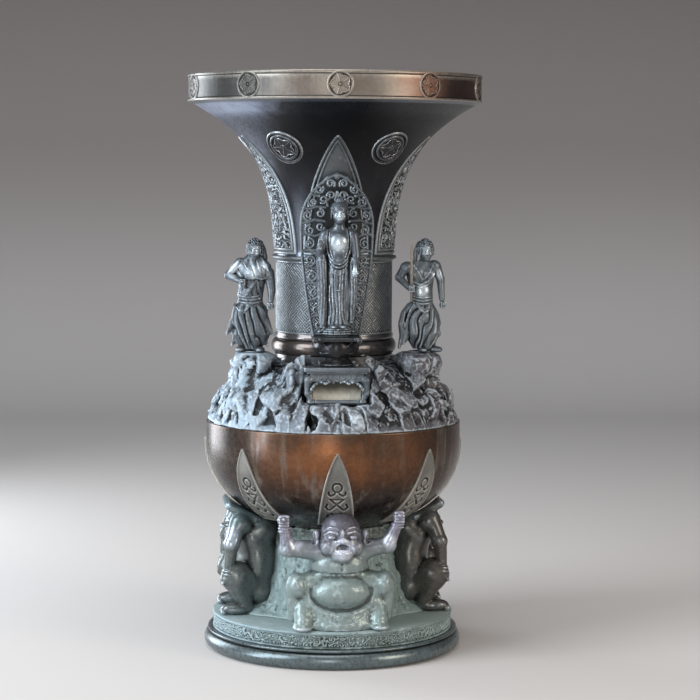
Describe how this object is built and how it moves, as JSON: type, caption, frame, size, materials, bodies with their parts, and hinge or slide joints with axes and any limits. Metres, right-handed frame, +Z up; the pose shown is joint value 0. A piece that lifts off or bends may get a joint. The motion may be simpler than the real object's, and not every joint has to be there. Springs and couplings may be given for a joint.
{
  "type": "flower vase",
  "caption": "Tall sectional cast temple flower vase with flared mouth, round bowl on crouching bearers, rock crown with standing figures, and lift-out water liner.",
  "frame": {"origin": "middle of the foot ring's underside, on the floor", "axes": "+Z up along the vase, front towards -Y, +X to the right as seen from the front"},
  "size_m": [0.46, 0.4636, 0.9],
  "materials": {
    "dark_foot": "dark rubbed patina with bluish highlights",
    "verdigris": "pale grey-green verdigris, matt and pitted",
    "grey_green": "grey-green patina, rubbed on the high spots",
    "brown_patina": "brown lacquered patina with orange-brown bloom",
    "slate_grey": "slate grey patina with pale blue-grey bloom",
    "near_black": "near-black patina, semi-gloss",
    "relief_grey": "grey patina over raised relief",
    "copper_liner": "dull sheet copper",
    "steel_pin": "plain steel"
  },
  "bodies": {
    "vase": {"altar_table": "slate_grey", "bearer_back": "grey_green", "bearer_front": "grey_green", "bearer_left": "grey_green", "bearer_pin_1": "steel_pin", "bearer_pin_2": "steel_pin", "bearer_pin_3": "steel_pin", "bearer_pin_4": "steel_pin", "bearer_right": "grey_green", "bowl": "brown_patina", "bowl_leaf_1": "relief_grey", "bowl_leaf_2": "relief_grey", "bowl_leaf_3": "relief_grey", "bowl_leaf_4": "relief_grey", "bowl_leaf_5": "relief_grey", "bowl_leaf_6": "relief_grey", "bowl_leaf_7": "relief_grey", "bowl_leaf_8": "relief_grey", "bowl_lock_pin_1": "steel_pin", "bowl_lock_pin_2": "steel_pin", "bowl_lock_pin_3": "steel_pin", "bowl_spigot": "brown_patina", "figure_pin": "steel_pin", "figure_stand": "near_black", "foot_ring": "dark_foot", "guardian_left": "slate_grey", "guardian_pin_1": "steel_pin", "guardian_pin_2": "steel_pin", "guardian_right": "slate_grey", "guardian_sword": "slate_grey", "halo": "slate_grey", "lotus_seat": "slate_grey", "neck_collar": "relief_grey", "neck_drum": "relief_grey", "neck_lock_pin_1": "steel_pin", "neck_lock_pin_2": "steel_pin", "neck_lock_pin_3": "steel_pin", "neck_ring": "brown_patina", "plinth": "verdigris", "rim_band": "near_black", "rock_column": "verdigris", "rock_crown": "slate_grey", "standing_figure": "slate_grey", "trumpet": "near_black", "trumpet_leaf_1": "relief_grey", "trumpet_leaf_2": "relief_grey", "trumpet_leaf_3": "relief_grey", "trumpet_leaf_4": "relief_grey", "trumpet_leaf_5": "relief_grey", "trumpet_roundel_1": "relief_grey", "trumpet_roundel_2": "relief_grey", "trumpet_roundel_3": "relief_grey", "trumpet_roundel_4": "relief_grey", "trumpet_roundel_5": "relief_grey"},
    "liner": {"water_liner": "copper_liner"}
  },
  "joints": [
    {"name": "liner_lift", "type": "slide", "parent": "vase", "child": "liner", "axis": [0, 0, 1], "range_m": [0, 0.4]}
  ]
}
